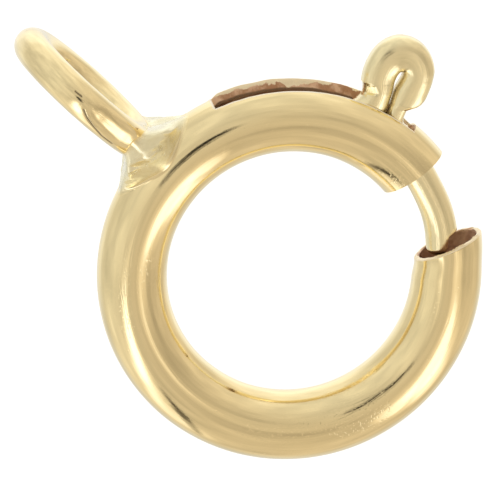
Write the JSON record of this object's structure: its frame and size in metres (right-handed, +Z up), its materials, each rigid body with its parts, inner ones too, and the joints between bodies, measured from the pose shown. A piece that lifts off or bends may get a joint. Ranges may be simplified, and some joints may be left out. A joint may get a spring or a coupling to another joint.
{
  "type": "spring ring clasp",
  "caption": "Hollow ring clasp with a sprung bolt across its gap, a hairpin thumb trigger in a slot and a soldered eye for a chain.",
  "frame": {"origin": "on the ground under the middle of the clasp's outline, as it lies by itself on its ring and its eye", "axes": "+Z up, -X from the ring towards the chain eye, +Y towards the thumb trigger; the ring's own plane rises 7.04 degrees towards the eye"},
  "size_m": [0.0086, 0.007, 0.0027],
  "materials": {
    "gold": "polished",
    "gold_wire": "polished",
    "spring_wire": "satin"
  },
  "bodies": {
    "clasp_ring": {"ring_body": "gold", "coil_spring": "spring_wire"},
    "sliding_bolt": {"bolt": "gold_wire"}
  },
  "joints": [
    {"name": "bolt_slide", "type": "hinge", "parent": "clasp_ring", "child": "sliding_bolt", "pos_m": [0.00134, -0.00051, 0.00085], "axis": [0.1226, 0, 0.9925], "range_deg": [0, 36], "stiffness_Nm_per_rad": 0.004, "springref_deg": -17.19, "deforming": ["coil_spring"]}
  ]
}
